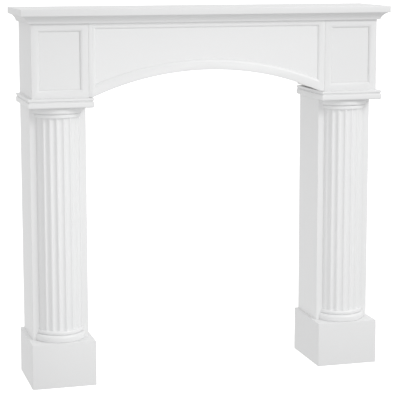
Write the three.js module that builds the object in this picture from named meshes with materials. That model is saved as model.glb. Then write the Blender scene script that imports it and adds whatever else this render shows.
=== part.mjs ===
// Painted timber fireplace mantelpiece: two boxed legs with fluted half columns,
// an arched frieze between two panelled end blocks, and a moulded shelf.
// Millimetres, +Z up, front toward -Y, origin on the floor at the middle of the footprint.
import * as THREE from 'three';
import { mergeVertices } from 'three/addons/utils/BufferGeometryUtils.js';

// Driving sizes
const BOARD = 18;

const SHELF_THICKNESS = 18.5;
const SHELF_NOSE = 4.5;

const FRIEZE_HEIGHT = 223;
const PILASTER_HEIGHT = 654.5;
const PLINTH_HEIGHT = 128;

const LEG_CENTRE_X = 420.25;
const LEG_WIDTH = 158;
const PILASTER_DEPTH = 158.4;
const PILASTER_SIDE_INSET = 0.25;
const PLINTH_SIDE_LEDGE = 11;
const PLINTH_FRONT_LEDGE = 0.2;

const CAP_HEIGHT = 26;
const CAP_SIDE_LEDGE = 11;
const CAP_FRONT_LEDGE = 12.7;
const CAP_FILLET = 5.5;
const CAP_GROOVE_HEIGHT = 4.5;
const CAP_GROOVE_DEPTH = 3;
const CAP_NOSE_TOP_RADIUS = 2;
const CAP_NOSE_RADIUS = 5;
const CAP_STEPS = 4;

const FRIEZE_SET_BACK = 16;

const COLUMN_SET_BACK = 24.4;
const SHAFT_RADIUS = 68;
const SHAFT_EDGE_LAND = 7.09;
const FLUTE_COUNT = 7;
const FLUTE_DEPTH = 4.2;
const FLUTE_FILLET = 3.6;
const FLUTE_STEPS = 8;

const WIDE_RING_PROJECTION = 8.8;
const WIDE_RING_SHOULDER = 8;
const WIDE_RING_FOOT = 2.5;
const SMALL_RING_PROJECTION = 3.5;
const SMALL_RING_BULGE = 4;
const RING_SQUARENESS = 2.4;
const BASE_WIDE_HEIGHT = 20;
const CAPITAL_WIDE_HEIGHT = 18;
const SMALL_RING_HEIGHT = 11.4;
const RING_STEPS = 8;
const ROUND_STEPS = 28;

const CROWN_HEIGHT = 20.5;
const CROWN_FOOT = 8;
const CROWN_FOOT_HEIGHT = 3.5;
const CROWN_HEAD = 25.5;
const CROWN_COVE_SAG = 2.6;
const CROWN_STEPS = 7;

const OVOLO_WIDTH = 9;
const OVOLO_DEPTH = 6.5;
const OVOLO_STEPS = 5;
const BLOCK_STILE = 14.5;
const BLOCK_BOTTOM_RAIL = 15;
const BLOCK_TOP_RAIL = 13.5;

const ARCH_RISE = 68.5;
const ARCH_RAIL = 20.5;
const ARCH_STEPS = 40;
const FRIEZE_STILE = 11;
const FRIEZE_TOP_RAIL = 7;
const FRIEZE_FOOT_GAP = 0.8;
const BLOCK_INNER_GAP = 4;
const BLOCK_INNER_LEDGE = 2;

// Heights, stacked from the floor up
const CAP_UNDERSIDE = PLINTH_HEIGHT + PILASTER_HEIGHT;
const CAP_TOP = CAP_UNDERSIDE + CAP_HEIGHT;
const SHELF_UNDERSIDE = CAP_TOP + FRIEZE_HEIGHT;
const SHELF_TOP = SHELF_UNDERSIDE + SHELF_THICKNESS;
const CROWN_UNDERSIDE = SHELF_UNDERSIDE - CROWN_HEIGHT;
const BASE_HEIGHT = BASE_WIDE_HEIGHT + SMALL_RING_HEIGHT;
const CAPITAL_HEIGHT = CAPITAL_WIDE_HEIGHT + SMALL_RING_HEIGHT;

// The column is under half a round, so its axis lies behind the pilaster's face
const WIDE_RING_RADIUS = SHAFT_RADIUS + WIDE_RING_PROJECTION;
const SMALL_RING_RADIUS = SHAFT_RADIUS + SMALL_RING_PROJECTION;
const COLUMN_AXIS_Y = PILASTER_DEPTH - COLUMN_SET_BACK;
const SHAFT_REACH = Math.acos(COLUMN_SET_BACK / SHAFT_RADIUS);
const FLUTE_PITCH = (2 * (SHAFT_REACH - SHAFT_EDGE_LAND / SHAFT_RADIUS)) / FLUTE_COUNT;

// Depths from the wall, each set by the column's front
const COLUMN_FRONT = COLUMN_AXIS_Y + WIDE_RING_RADIUS;
const PLINTH_DEPTH = COLUMN_FRONT + PLINTH_FRONT_LEDGE;
const CAP_DEPTH = COLUMN_FRONT + CAP_FRONT_LEDGE;
const FRIEZE_DEPTH = CAP_DEPTH - FRIEZE_SET_BACK;
const SHELF_OVERHANG = CROWN_HEAD + SHELF_NOSE;
const SHELF_DEPTH = FRIEZE_DEPTH + SHELF_OVERHANG;

// Widths
const LEG_HALF = LEG_WIDTH / 2;
const PILASTER_HALF = LEG_HALF - PILASTER_SIDE_INSET;
const PLINTH_HALF = LEG_HALF + PLINTH_SIDE_LEDGE;
const CAP_HALF = LEG_HALF + CAP_SIDE_LEDGE;
const BLOCK_OUTER_X = LEG_CENTRE_X + LEG_HALF;
const BLOCK_INNER_X = LEG_CENTRE_X - LEG_HALF;
const CAP_INNER_X = LEG_CENTRE_X - CAP_HALF;

// A closed surface collected triangle by triangle, from loops of points
class Surface {
  constructor() {
    this.positions = [];
  }

  triangle(a, b, c) {
    for (const point of [a, b, c]) {
      this.positions.push(point.x, point.y, point.z);
    }
  }

  // Side faces between two loops that hold the same number of points
  wall(near, far) {
    near.forEach((point, i) => {
      const j = (i + 1) % near.length;
      this.triangle(point, near[j], far[j]);
      this.triangle(point, far[j], far[i]);
    });
  }

  // A flat face inside a loop, with an optional hole, wound like the loop itself
  flat(loop, hole = [], reversed = false) {
    const normal = loopNormal(loop);
    const across = loop[1].clone().sub(loop[0]).normalize();
    const up = normal.clone().cross(across);
    const toPlane = (point) => new THREE.Vector2(point.dot(across), point.dot(up));
    const contour = loop.map(toPlane);
    const holes = hole.length ? [hole.map(toPlane)] : [];
    const points = [...loop, ...hole];
    const plane = [...contour, ...holes.flat()];
    for (const face of THREE.ShapeUtils.triangulateShape(contour, holes)) {
      const area = THREE.ShapeUtils.area(face.map((index) => plane[index]));
      const ordered = area < 0 !== reversed ? [face[0], face[2], face[1]] : face;
      this.triangle(...ordered.map((index) => points[index]));
    }
  }

  geometry() {
    const geometry = new THREE.BufferGeometry();
    geometry.setAttribute('position', new THREE.Float32BufferAttribute(this.positions, 3));
    if (signedVolume(this.positions) < 0) {
      flip(geometry);
    }
    return mergeVertices(geometry, 1e-4);
  }
}

function loopNormal(loop) {
  const normal = new THREE.Vector3();
  loop.forEach((point, i) => {
    const next = loop[(i + 1) % loop.length];
    normal.x += (point.y - next.y) * (point.z + next.z);
    normal.y += (point.z - next.z) * (point.x + next.x);
    normal.z += (point.x - next.x) * (point.y + next.y);
  });
  return normal.normalize();
}

function signedVolume(positions) {
  let volume = 0;
  const corners = [new THREE.Vector3(), new THREE.Vector3(), new THREE.Vector3()];
  for (let i = 0; i < positions.length; i += 9) {
    corners.forEach((corner, k) => corner.fromArray(positions, i + 3 * k));
    volume += corners[0].dot(corners[1].clone().cross(corners[2])) / 6;
  }
  return volume;
}

function flip(geometry) {
  const position = geometry.getAttribute('position');
  const keep = new THREE.Vector3();
  const swap = new THREE.Vector3();
  for (let i = 0; i < position.count; i += 3) {
    keep.fromBufferAttribute(position, i + 1);
    swap.fromBufferAttribute(position, i + 2);
    position.setXYZ(i + 1, swap.x, swap.y, swap.z);
    position.setXYZ(i + 2, keep.x, keep.y, keep.z);
  }
}

// A solid through a row of loops, closed by the first and the last
function loft(loops) {
  const surface = new Surface();
  surface.flat(loops[0], [], true);
  for (let i = 1; i < loops.length; i += 1) {
    surface.wall(loops[i - 1], loops[i]);
  }
  surface.flat(loops[loops.length - 1]);
  return surface.geometry();
}

// A plain board between two corners
function board(x0, x1, y0, y1, z0, z1) {
  const geometry = new THREE.BoxGeometry(Math.abs(x1 - x0), Math.abs(y1 - y0), z1 - z0);
  geometry.translate((x0 + x1) / 2, (y0 + y1) / 2, (z0 + z1) / 2);
  return geometry;
}

// A rectangle in plan with its back edge on the wall plane
function planLoop(centreX, halfWidth, depth, z) {
  return [
    new THREE.Vector3(centreX - halfWidth, -depth, z),
    new THREE.Vector3(centreX + halfWidth, -depth, z),
    new THREE.Vector3(centreX + halfWidth, 0, z),
    new THREE.Vector3(centreX - halfWidth, 0, z),
  ];
}

// The moulded cap over a leg: rounded nose, groove and top fillet round three sides
function capGeometry(centreX) {
  const noseTop = CAP_TOP - CAP_FILLET - CAP_GROOVE_HEIGHT;
  const quarter = (place) => Array.from({ length: CAP_STEPS + 1 }, (_, i) => {
    const angle = (i / CAP_STEPS) * (Math.PI / 2);
    return place(Math.sin(angle), Math.cos(angle));
  });
  const profile = [
    ...quarter((sin, cos) => [
      CAP_NOSE_RADIUS * (1 - sin),
      CAP_UNDERSIDE + CAP_NOSE_RADIUS * (1 - cos),
    ]),
    ...quarter((sin, cos) => [
      CAP_NOSE_TOP_RADIUS * (1 - cos),
      noseTop - CAP_NOSE_TOP_RADIUS * (1 - sin),
    ]),
    ...quarter((sin, cos) => [CAP_GROOVE_DEPTH * cos, noseTop + CAP_GROOVE_HEIGHT * sin]),
    [0, CAP_TOP],
  ];
  return loft(profile.map(([inset, z]) => planLoop(centreX, CAP_HALF - inset, CAP_DEPTH - inset, z)));
}

// An arc of a column ring or shaft in plan, closed by the flat against the pilaster
function arcLoop(centreX, radius, z, steps) {
  const reach = Math.acos(COLUMN_SET_BACK / radius);
  const loop = [];
  for (let i = 0; i <= steps; i += 1) {
    const angle = -reach + (2 * reach * i) / steps;
    loop.push(new THREE.Vector3(
      centreX + radius * Math.sin(angle),
      -COLUMN_AXIS_Y - radius * Math.cos(angle),
      z,
    ));
  }
  return loop;
}

// Heights and radii of one rounded ring, from its lower to its upper edge
function ringProfile(z0, height, radius, lowerBulge, upperBulge) {
  const profile = [];
  for (let i = 0; i <= RING_STEPS; i += 1) {
    const t = -Math.cos((Math.PI * i) / RING_STEPS);
    const bulge = t < 0 ? lowerBulge : upperBulge;
    const swell = (1 - Math.abs(t) ** RING_SQUARENESS) ** (1 / RING_SQUARENESS);
    profile.push([radius - bulge * (1 - swell), z0 + (height * (1 + t)) / 2]);
  }
  return profile;
}

function smallRing(z0) {
  return ringProfile(z0, SMALL_RING_HEIGHT, SMALL_RING_RADIUS, SMALL_RING_BULGE, SMALL_RING_BULGE);
}

function stackedRings(centreX, rings) {
  const profile = rings.flat();
  return loft(profile.map(([radius, z]) => arcLoop(centreX, radius, z, ROUND_STEPS)));
}

function baseGeometry(centreX) {
  return stackedRings(centreX, [
    ringProfile(PLINTH_HEIGHT, BASE_WIDE_HEIGHT, WIDE_RING_RADIUS, WIDE_RING_FOOT, WIDE_RING_SHOULDER),
    smallRing(PLINTH_HEIGHT + BASE_WIDE_HEIGHT),
  ]);
}

function capitalGeometry(centreX) {
  const foot = CAP_UNDERSIDE - CAPITAL_HEIGHT;
  const wide = foot + SMALL_RING_HEIGHT;
  return stackedRings(centreX, [
    smallRing(foot),
    ringProfile(wide, CAPITAL_WIDE_HEIGHT, WIDE_RING_RADIUS, WIDE_RING_SHOULDER, WIDE_RING_FOOT),
  ]);
}

// Plan outline of the fluted shaft: hollow flutes with a narrow fillet between each two
function shaftPlan() {
  const onCircle = (angle) => new THREE.Vector2(
    SHAFT_RADIUS * Math.sin(angle),
    -COLUMN_AXIS_Y - SHAFT_RADIUS * Math.cos(angle),
  );
  const halfFlute = FLUTE_PITCH / 2 - FLUTE_FILLET / SHAFT_RADIUS / 2;
  const chord = SHAFT_RADIUS * Math.sin(halfFlute);
  const sag = FLUTE_DEPTH - SHAFT_RADIUS * (1 - Math.cos(halfFlute));
  const fluteRadius = (chord ** 2 + sag ** 2) / (2 * sag);
  const centreDistance = SHAFT_RADIUS * Math.cos(halfFlute) - sag + fluteRadius;
  const sweep = Math.asin(chord / fluteRadius);
  const plan = [onCircle(-SHAFT_REACH)];
  for (let k = 0; k < FLUTE_COUNT; k += 1) {
    const middle = (k - (FLUTE_COUNT - 1) / 2) * FLUTE_PITCH;
    for (let i = 0; i <= FLUTE_STEPS; i += 1) {
      const angle = -sweep + (2 * sweep * i) / FLUTE_STEPS;
      const across = fluteRadius * Math.sin(angle);
      const out = centreDistance - fluteRadius * Math.cos(angle);
      plan.push(new THREE.Vector2(
        across * Math.cos(middle) + out * Math.sin(middle),
        -COLUMN_AXIS_Y - out * Math.cos(middle) + across * Math.sin(middle),
      ));
    }
  }
  plan.push(onCircle(SHAFT_REACH));
  return plan;
}

function shaftGeometry(centreX) {
  const plan = shaftPlan();
  const level = (z) => plan.map((point) => new THREE.Vector3(centreX + point.x, point.y, z));
  return loft([level(PLINTH_HEIGHT + BASE_HEIGHT), level(CAP_UNDERSIDE - CAPITAL_HEIGHT)]);
}

// Inset and depth of the ovolo round a sunk panel, from the rail down to the field
function ovolo() {
  const steps = [];
  for (let i = 0; i <= OVOLO_STEPS; i += 1) {
    const angle = (i / OVOLO_STEPS) * (Math.PI / 2);
    steps.push([OVOLO_WIDTH * Math.sin(angle), OVOLO_DEPTH * (1 - Math.cos(angle))]);
  }
  return steps;
}

function panelledBoard(outline, sunk) {
  const surface = new Surface();
  const back = outline(-FRIEZE_DEPTH + BOARD);
  const front = outline(-FRIEZE_DEPTH);
  const loops = ovolo().map(([inset, depth]) => sunk(inset, -FRIEZE_DEPTH + depth));
  surface.flat(back, [], true);
  surface.wall(back, front);
  surface.flat(front, loops[0]);
  for (let i = 1; i < loops.length; i += 1) {
    surface.wall(loops[i - 1], loops[i]);
  }
  surface.flat(loops[loops.length - 1]);
  return surface.geometry();
}

function rectangle(x0, x1, z0, z1, y) {
  return [
    new THREE.Vector3(x0, y, z0),
    new THREE.Vector3(x1, y, z0),
    new THREE.Vector3(x1, y, z1),
    new THREE.Vector3(x0, y, z1),
  ];
}

// Front board of an end block, with its sunk rectangular panel
function blockFrontGeometry(centreX) {
  return panelledBoard(
    (y) => rectangle(centreX - LEG_HALF, centreX + LEG_HALF, CAP_TOP, SHELF_UNDERSIDE, y),
    (inset, y) => rectangle(
      centreX - LEG_HALF + BLOCK_STILE + inset,
      centreX + LEG_HALF - BLOCK_STILE - inset,
      CAP_TOP + BLOCK_BOTTOM_RAIL + inset,
      CROWN_UNDERSIDE - BLOCK_TOP_RAIL - inset,
      y,
    ),
  );
}

// Points of the frieze arch, left to right, between two limits in X
function archPoints(radius, centreZ, limit, y) {
  const reach = Math.asin(limit / radius);
  const points = [];
  for (let i = 0; i <= ARCH_STEPS; i += 1) {
    const angle = -reach + (2 * reach * i) / ARCH_STEPS;
    points.push(new THREE.Vector3(radius * Math.sin(angle), y, centreZ + radius * Math.cos(angle)));
  }
  return points;
}

// The arched frieze board between the end blocks, with its sunk field
function friezeGeometry() {
  const foot = CAP_TOP + FRIEZE_FOOT_GAP;
  const radius = (CAP_INNER_X ** 2 + ARCH_RISE ** 2) / (2 * ARCH_RISE);
  const centreZ = foot + ARCH_RISE - radius;
  return panelledBoard(
    (y) => [
      new THREE.Vector3(-BLOCK_INNER_X, y, foot),
      ...archPoints(radius, centreZ, CAP_INNER_X, y),
      new THREE.Vector3(BLOCK_INNER_X, y, foot),
      new THREE.Vector3(BLOCK_INNER_X, y, SHELF_UNDERSIDE),
      new THREE.Vector3(-BLOCK_INNER_X, y, SHELF_UNDERSIDE),
    ],
    (inset, y) => {
      const side = BLOCK_INNER_X - FRIEZE_STILE - inset;
      const top = CROWN_UNDERSIDE - FRIEZE_TOP_RAIL - inset;
      return [
        ...archPoints(radius + ARCH_RAIL + inset, centreZ, side, y),
        new THREE.Vector3(side, y, top),
        new THREE.Vector3(-side, y, top),
      ];
    },
  );
}

// Crown profile: how far it stands off the frieze, and its height
function crownProfile() {
  const foot = CROWN_UNDERSIDE + CROWN_FOOT_HEIGHT;
  const rise = SHELF_UNDERSIDE - foot;
  const run = CROWN_HEAD - CROWN_FOOT;
  const chord = Math.hypot(run, rise);
  const profile = [[0, CROWN_UNDERSIDE], [CROWN_FOOT, CROWN_UNDERSIDE]];
  for (let i = 0; i <= CROWN_STEPS; i += 1) {
    const t = i / CROWN_STEPS;
    const sag = 4 * CROWN_COVE_SAG * t * (1 - t);
    profile.push([
      CROWN_FOOT + run * t - (sag * rise) / chord,
      foot + rise * t + (sag * run) / chord,
    ]);
  }
  profile.push([0, SHELF_UNDERSIDE]);
  return profile;
}

function crownFrontGeometry() {
  const end = (side) => crownProfile().map(([out, z]) => new THREE.Vector3(
    side * (BLOCK_OUTER_X + out),
    -FRIEZE_DEPTH - out,
    z,
  ));
  return loft([end(-1), end(1)]);
}

function crownReturnGeometry(side) {
  const profile = crownProfile();
  const point = (out, y, z) => new THREE.Vector3(side * (BLOCK_OUTER_X + out), y, z);
  return loft([
    profile.map(([out, z]) => point(out, -FRIEZE_DEPTH - out, z)),
    profile.map(([out, z]) => point(out, 0, z)),
  ]);
}

function paint(name, colour, roughness) {
  return new THREE.MeshStandardMaterial({ name, color: colour, roughness, metalness: 0 });
}

const mantelpiece = new THREE.Group();
mantelpiece.name = 'mantelpiece';

function add(name, geometry, colour = 0xf2f2f0, roughness = 0.42) {
  const mesh = new THREE.Mesh(geometry, paint(`${name}_paint`, colour, roughness));
  mesh.name = name;
  mantelpiece.add(mesh);
}

// One leg: plinth box, pilaster box, split column with base and capital, cap and end block
function addLeg(tag, side) {
  const centreX = side * LEG_CENTRE_X;
  const outerInner = [['outer', side], ['inner', -side]];
  const underTop = PLINTH_HEIGHT - BOARD;

  add(`plinth_front_${tag}`, board(
    centreX - PLINTH_HALF, centreX + PLINTH_HALF, -PLINTH_DEPTH, -PLINTH_DEPTH + BOARD, 0, underTop,
  ));
  add(`plinth_top_${tag}`, board(
    centreX - PLINTH_HALF, centreX + PLINTH_HALF, -PLINTH_DEPTH, 0, underTop, PLINTH_HEIGHT,
  ));
  add(`pilaster_front_${tag}`, board(
    centreX - PILASTER_HALF, centreX + PILASTER_HALF,
    -PILASTER_DEPTH, -PILASTER_DEPTH + BOARD, PLINTH_HEIGHT, CAP_UNDERSIDE,
  ));
  for (const [where, sign] of outerInner) {
    const faceX = (reach) => centreX + sign * reach;
    add(`plinth_${where}_${tag}`, board(
      faceX(PLINTH_HALF), faceX(PLINTH_HALF - BOARD), -PLINTH_DEPTH + BOARD, 0, 0, underTop,
    ));
    add(`pilaster_${where}_${tag}`, board(
      faceX(PILASTER_HALF), faceX(PILASTER_HALF - BOARD),
      -PILASTER_DEPTH + BOARD, 0, PLINTH_HEIGHT, CAP_UNDERSIDE,
    ));
    // The inner board stands behind the joint of block and frieze, and stops short of the cap
    const half = where === 'inner' ? CAP_HALF - BLOCK_INNER_LEDGE : LEG_HALF;
    const foot = where === 'inner' ? CAP_TOP + BLOCK_INNER_GAP : CAP_TOP;
    add(`block_${where}_${tag}`, board(
      faceX(half), faceX(half - BOARD), -FRIEZE_DEPTH + BOARD, 0, foot, SHELF_UNDERSIDE,
    ));
  }
  add(`column_base_${tag}`, baseGeometry(centreX));
  add(`column_shaft_${tag}`, shaftGeometry(centreX));
  add(`column_capital_${tag}`, capitalGeometry(centreX));
  add(`cap_${tag}`, capGeometry(centreX));
  add(`block_front_${tag}`, blockFrontGeometry(centreX));
}

addLeg('left', -1);
addLeg('right', 1);
add('frieze_panel', friezeGeometry());
add('crown_front', crownFrontGeometry());
add('crown_left', crownReturnGeometry(-1));
add('crown_right', crownReturnGeometry(1));
add('shelf_board', board(
  -BLOCK_OUTER_X - SHELF_OVERHANG,
  BLOCK_OUTER_X + SHELF_OVERHANG,
  -SHELF_DEPTH,
  0,
  SHELF_UNDERSIDE,
  SHELF_TOP,
));

// The footprint's middle goes to the origin: the back of the piece stays flat and parallel to X
mantelpiece.children.forEach((mesh) => {
  mesh.geometry.translate(0, SHELF_DEPTH / 2, 0);
});

export default mantelpiece;
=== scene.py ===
"""White painted timber mantelpiece: two fluted legs, an arched frieze and a moulded shelf.

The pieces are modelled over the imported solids, in metres, in the frame of the solids: +Z up, the
front toward -Y and the flat back on the plane where the wall would be.
"""

import logging
import math
from abc import ABC, abstractmethod
from contextlib import contextmanager
from dataclasses import dataclass, replace
from enum import Enum
from itertools import pairwise
from typing import Callable, Iterator, Mapping, Sequence, Union

import bmesh
import bpy
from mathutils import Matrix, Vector


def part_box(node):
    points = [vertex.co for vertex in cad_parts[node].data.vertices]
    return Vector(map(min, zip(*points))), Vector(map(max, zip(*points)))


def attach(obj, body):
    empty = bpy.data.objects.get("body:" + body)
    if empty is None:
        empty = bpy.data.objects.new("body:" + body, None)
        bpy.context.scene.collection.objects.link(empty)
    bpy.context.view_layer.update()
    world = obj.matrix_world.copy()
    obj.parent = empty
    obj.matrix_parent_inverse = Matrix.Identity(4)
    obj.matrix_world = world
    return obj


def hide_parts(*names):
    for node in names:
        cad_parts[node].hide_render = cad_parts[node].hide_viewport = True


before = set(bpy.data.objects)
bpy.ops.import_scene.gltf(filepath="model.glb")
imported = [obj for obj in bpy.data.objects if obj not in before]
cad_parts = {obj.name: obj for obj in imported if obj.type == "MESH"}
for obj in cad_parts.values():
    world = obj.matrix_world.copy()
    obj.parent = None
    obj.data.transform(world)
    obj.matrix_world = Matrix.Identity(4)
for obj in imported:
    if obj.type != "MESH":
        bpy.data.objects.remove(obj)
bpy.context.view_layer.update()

LOG = logging.getLogger("mantelpiece")
BODY = "root"

MM = 1000  # millimetres in a metre
ONE_PLACE = 1e-5  # metres within which two corners are level or in one plane
DOUBLED = 1e-6  # metres within which two corners are merged
STRAIGHT = 0.99  # cosine from which a face or an edge lies along an axis
NEARLY_STRAIGHT = 0.9  # the same on a box, whose corners may be eased
HALF_TURNED = 0.5  # cosine from which a face looks more one way than another
CRISP_DEGREES = 35.0  # the angle from which an edge is shaded crisp
CORNER_DEGREES = 30.0  # the angle from which an edge is a corner
NOISE_MEAN = 0.5  # the middle of a noise pattern
UNSCALED = (1.0, 1.0, 1.0)
MIRRORED = (-1.0, 1.0, 1.0)
WHITE = (1.0, 1.0, 1.0, 1.0)

VertexTest = Callable[[bmesh.types.BMVert], bool]
EdgeTest = Callable[[bmesh.types.BMEdge], bool]
FaceTest = Callable[[bmesh.types.BMFace], bool]
PolygonTest = Callable[[bpy.types.MeshPolygon], bool]


class Side(Enum):
    """The two legs, as they are seen from the front."""

    LEFT = "left"
    RIGHT = "right"


class Slot(Enum):
    """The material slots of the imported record."""

    BOARD = "white_paint_on_board"
    WOOD = "white_paint_on_wood"


class Lay(Enum):
    """How the marks of the brush or the roller are stretched along X, Y and Z."""

    EVEN = (1.0, 1.0, 1.0)
    UPRIGHT = (1.0, 1.0, 0.09)
    LEVEL = (0.09, 1.0, 1.0)


class Element(Enum):
    """What a mesh is made of, with the name of the list that holds it."""

    VERT = "verts"
    EDGE = "edges"
    FACE = "faces"


class Way(Enum):
    """The ways that a face can look, as an axis and a sign, seen from the left leg."""

    OUTWARD = (0, -1)
    INWARD = (0, 1)
    FRONT = (1, -1)
    BACK = (1, 1)
    DOWN = (2, -1)
    UP = (2, 1)

    def __init__(self, axis: int, sign: int) -> None:
        """Splits the way into its axis, 0, 1 or 2 for X, Y or Z, and its sign."""
        self.axis = axis
        self.sign = sign

    def along(self, normal: Vector) -> float:
        """Returns the cosine between a normal and this way."""
        return normal[self.axis] * self.sign


# Places and measures


@dataclass(frozen=True)
class Extent:
    """A box in the frame of the solids.

    Attributes:
        low: Its lowest corner.
        high: Its highest corner.
    """

    low: Vector
    high: Vector

    @classmethod
    def of(cls, *nodes: str) -> "Extent":
        """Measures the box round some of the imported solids.

        Args:
            nodes: Names of the solids.

        Returns:
            The box that holds them all.
        """
        corners = [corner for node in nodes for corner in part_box(node)]
        return cls(
            Vector([min(corner[axis] for corner in corners) for axis in range(3)]),
            Vector([max(corner[axis] for corner in corners) for axis in range(3)]),
        )

    @property
    def middle(self) -> Vector:
        """The point in the middle of the box."""
        return (self.low + self.high) / 2

    @property
    def size(self) -> Vector:
        """The three side lengths."""
        return self.high - self.low

    def side(self, way: Way) -> float:
        """Returns where the side that looks one way lies on its axis."""
        return (self.high if way.sign > 0 else self.low)[way.axis]


@dataclass(frozen=True)
class Section:
    """One level of a moulding that is built up from the bottom.

    Attributes:
        across: Half of its width, along X.
        forward: How far it reaches along Y from the line that it grows about.
        height: Its height above the floor.
    """

    across: float
    forward: float
    height: float


def quarter_turn(steps: int, fullness: float = 2.0) -> list[tuple[float, float]]:
    """Walks through a quarter of a circle, or of a flatter or a fuller round.

    Args:
        steps: Number of steps.
        fullness: Power of the round: 1 is a bevel, 2 a circle, and more is squarer.

    Returns:
        How far each step is across and how high it stands, from (0, 1) to (1, 0).
    """
    angles = [math.pi / 2 * step / steps for step in range(steps + 1)]
    power = 2 / fullness
    return [(math.sin(angle) ** power, abs(math.cos(angle)) ** power) for angle in angles]


def same_place(first: float, second: float) -> bool:
    """Tells whether two places along an axis are one."""
    return abs(first - second) < ONE_PLACE


@dataclass(frozen=True)
class Arris:
    """How a corner is rounded over.

    Attributes:
        width: How far the rounding reaches from the corner, in metres.
        steps: Number of facets across it.
    """

    width: float
    steps: int


# Tools of the bench


def clear_bench() -> None:
    """Leaves edit mode and deselects everything, so that a tool acts on its own piece alone."""
    if bpy.context.mode != "OBJECT":
        bpy.ops.object.mode_set(mode="OBJECT")
    bpy.ops.object.select_all(action="DESELECT")


class Workpiece:
    """A mesh object on the bench, with the tools that shape it."""

    def __init__(self, obj: bpy.types.Object) -> None:
        """Takes hold of a mesh object."""
        self.obj = obj

    @classmethod
    def from_box(cls, name: str, extent: Extent) -> "Workpiece":
        """Starts from a rectangular blank that fills a box."""
        add = bpy.ops.mesh.primitive_cube_add
        return cls._started(name, add, extent.size, size=1.0, location=extent.middle)

    @classmethod
    def from_sheet(cls, name: str, size: Vector, centre: Vector) -> "Workpiece":
        """Starts from a flat sheet, whose size is its two lengths and 1 along Z."""
        add = bpy.ops.mesh.primitive_plane_add
        return cls._started(name, add, size, size=1.0, location=centre)

    @classmethod
    def from_disc(cls, name: str, radius: float, centre: Vector, vertices: int) -> "Workpiece":
        """Starts from a round plate that lies flat, with so many corners round its rim."""
        rim = {"vertices": vertices, "radius": radius, "fill_type": "NGON", "location": centre}
        return cls._started(name, bpy.ops.mesh.primitive_circle_add, UNSCALED, **rim)

    @classmethod
    def from_rod(cls, name: str, radius: float, extent: Extent, vertices: int) -> "Workpiece":
        """Starts from an upright rod with the middle and the height of a box."""
        rod = {"vertices": vertices, "radius": radius, "depth": extent.size.z}
        return cls._started(
            name, bpy.ops.mesh.primitive_cylinder_add, UNSCALED, location=extent.middle, **rod
        )

    @classmethod
    def _started(
        cls, name: str, add: Callable[..., object], scale: Sequence[float], **settings: object
    ) -> "Workpiece":
        """Adds a primitive and moves its place into its mesh.

        Args:
            name: Name of the piece.
            add: The operator that adds the primitive.
            scale: The piece's scale along the three axes.
            settings: The operator's settings.

        Returns:
            The piece, unturned and unscaled at the origin.
        """
        clear_bench()
        add(**settings)
        return cls._settled(name, scale)

    @classmethod
    def _settled(cls, name: str, scale: Sequence[float]) -> "Workpiece":
        """Names the active object, scales it and moves its place into its mesh.

        Args:
            name: Name of the piece.
            scale: Its scale along the three axes.

        Returns:
            The piece, unturned and unscaled at the origin.
        """
        obj = bpy.context.active_object
        obj.name = name
        obj.data.name = name
        obj.scale = scale
        bpy.ops.object.transform_apply(location=True, rotation=True, scale=True)
        return cls(obj)

    def mirrored(self, name: str) -> "Workpiece":
        """Makes a mirror image with its own mesh, across the middle of the mantelpiece.

        Args:
            name: Name of the image.

        Returns:
            The image, with its place in its mesh and its faces turned outward again.
        """
        self._select()
        bpy.ops.object.duplicate(linked=False)
        image = Workpiece._settled(name, MIRRORED)
        image.turn_outward()
        return image

    def _select(self) -> None:
        """Makes this piece the only selected and the active one."""
        clear_bench()
        self.obj.select_set(True)
        bpy.context.view_layer.objects.active = self.obj

    @contextmanager
    def opened(self) -> Iterator[None]:
        """Opens the piece in edit mode with nothing selected, and closes it again afterwards."""
        self._select()
        bpy.ops.object.mode_set(mode="EDIT")
        bpy.ops.mesh.select_mode(type="VERT")
        bpy.ops.mesh.select_all(action="DESELECT")
        yield
        bpy.ops.object.mode_set(mode="OBJECT")

    def pick(self, element: Element, wanted: Union[VertexTest, EdgeTest, FaceTest]) -> None:
        """Selects what passes a test in the opened piece, and nothing else.

        Args:
            element: Whether corners, edges or faces are picked.
            wanted: The test.
        """
        bpy.ops.mesh.select_mode(type=element.name)
        bpy.ops.mesh.select_all(action="DESELECT")
        for item in getattr(bmesh.from_edit_mesh(self.obj.data), element.value):
            if wanted(item):
                item.select_set(True)
        bmesh.update_edit_mesh(self.obj.data)

    def remove_faces(self, unwanted: FaceTest) -> None:
        """Opens the piece by deleting faces.

        Args:
            unwanted: Tells whether a face goes.
        """
        with self.opened():
            self.pick(Element.FACE, unwanted)
            bpy.ops.mesh.delete(type="FACE")

    def raise_through(self, sections: Sequence[Section], x: float, y: float) -> None:
        """Builds a flat outline up into a moulding, level by level.

        Args:
            sections: The levels, of which the first is the outline as it lies.
            x: Place along X of the upright line that the levels grow about.
            y: Place along Y of that line.
        """
        with self.opened():
            bpy.ops.mesh.select_all(action="SELECT")
            for below, above in pairwise(sections):
                rise = (0.0, 0.0, above.height - below.height)
                bpy.ops.mesh.extrude_region_move(TRANSFORM_OT_translate={"value": rise})
                bpy.ops.transform.resize(
                    value=(above.across / below.across, above.forward / below.forward, 1.0),
                    center_override=(x, y, above.height),
                )
        self.turn_outward()

    def split_at(self, y: float) -> None:
        """Cuts the piece along an upright plane across Y, keeps the front and closes the cut.

        Args:
            y: Place of the plane.
        """
        with self.opened():
            bpy.ops.mesh.select_all(action="SELECT")
            bpy.ops.mesh.bisect(
                plane_co=(0.0, y, 0.0), plane_no=(0.0, 1.0, 0.0), use_fill=True, clear_outer=True
            )
        self.turn_outward()

    def turn_outward(self) -> None:
        """Merges doubled corners and turns every face outward."""
        with self.opened():
            bpy.ops.mesh.select_all(action="SELECT")
            bpy.ops.mesh.remove_doubles(threshold=DOUBLED)
            bpy.ops.mesh.normals_make_consistent(inside=False)

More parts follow.
